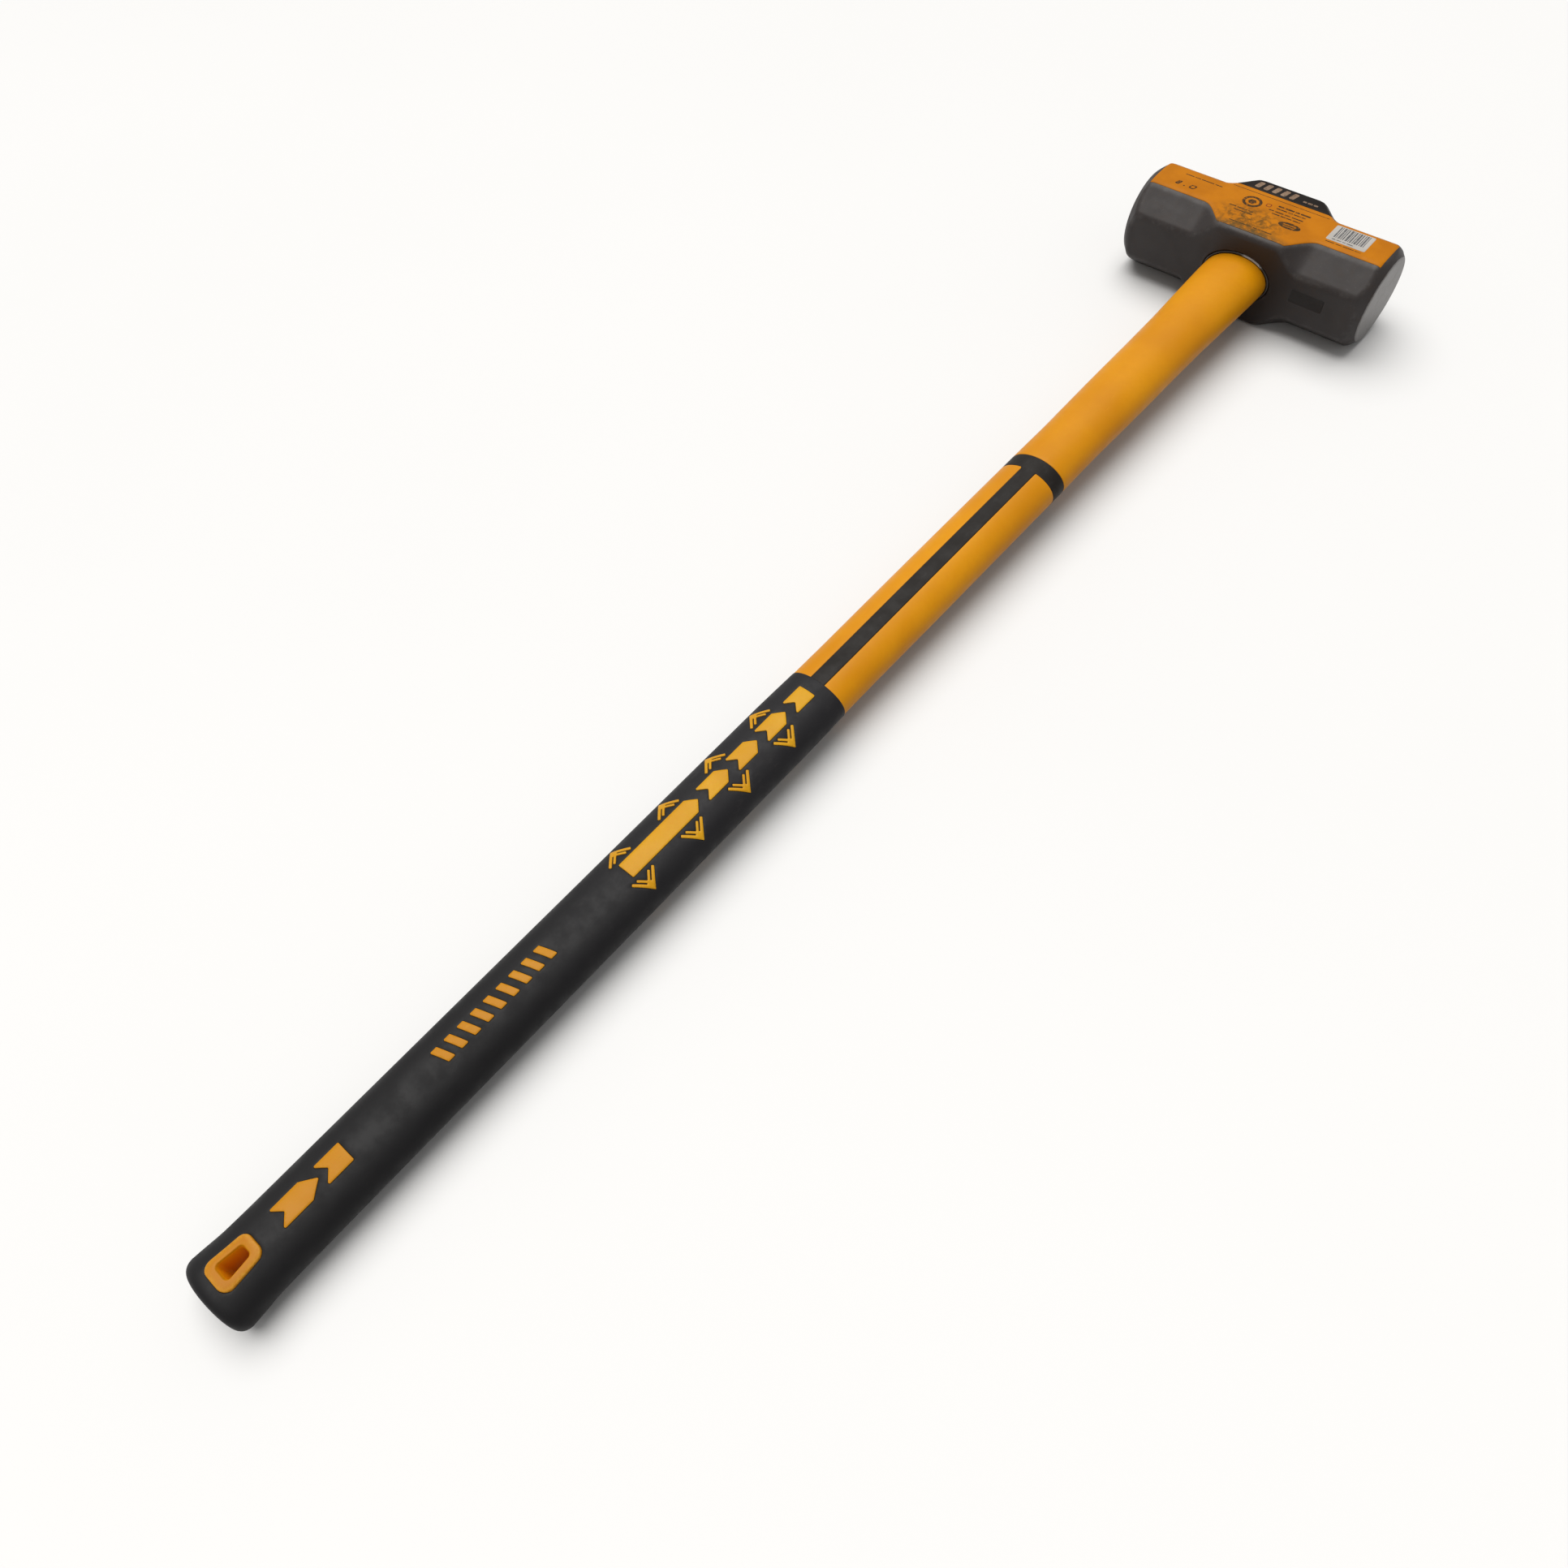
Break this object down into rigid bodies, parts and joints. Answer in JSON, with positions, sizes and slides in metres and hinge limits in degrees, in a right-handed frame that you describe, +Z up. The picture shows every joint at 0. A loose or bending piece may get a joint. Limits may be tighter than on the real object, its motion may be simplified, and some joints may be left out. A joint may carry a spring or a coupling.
{
  "type": "sledgehammer",
  "caption": "Long two-handed sledgehammer: forged double-faced head with chamfered ends, fibreglass handle with yellow jacket and black rubber grip.",
  "frame": {"origin": "on the surface that the lower cheek rests on, under the middle of the whole hammer's box", "axes": "+Y from the butt to the head along the handle, +X along the head to one striking face, +Z up to the labelled cheek"},
  "size_m": [0.173, 0.907, 0.0595],
  "materials": {
    "forged_paint": "satin dark charcoal-brown paint over forged steel, worn to bare grey on the striking faces",
    "eye_resin": "cast epoxy, dull",
    "neck_bead": "greyish-white squeezed-out resin",
    "fibreglass": "pultruded fibreglass rod",
    "yellow_plastic": "satin injection-moulded polypropylene",
    "yellow_land": "satin yellow raised shapes",
    "black_rubber": "matte charcoal soft overmould",
    "orange_label": "printed self-adhesive label",
    "black_band": "plain black printed band",
    "white_sticker": "white sticker with plain bars"
  },
  "bodies": {
    "root": {"hammer_head": "forged_paint", "eye_resin": "eye_resin", "neck_bead": "neck_bead", "fibreglass_core": "fibreglass", "handle_jacket": "yellow_plastic", "butt_plug": "yellow_plastic", "rubber_ring": "black_rubber", "rubber_stripe": "black_rubber", "rubber_grip": "black_rubber", "rubber_butt": "black_rubber", "arrow_lands": "yellow_land", "chevron_lands": "yellow_land", "bar_lands": "yellow_land", "cheek_label": "orange_label", "title_band": "black_band", "barcode_sticker": "white_sticker"}
  },
  "joints": []
}
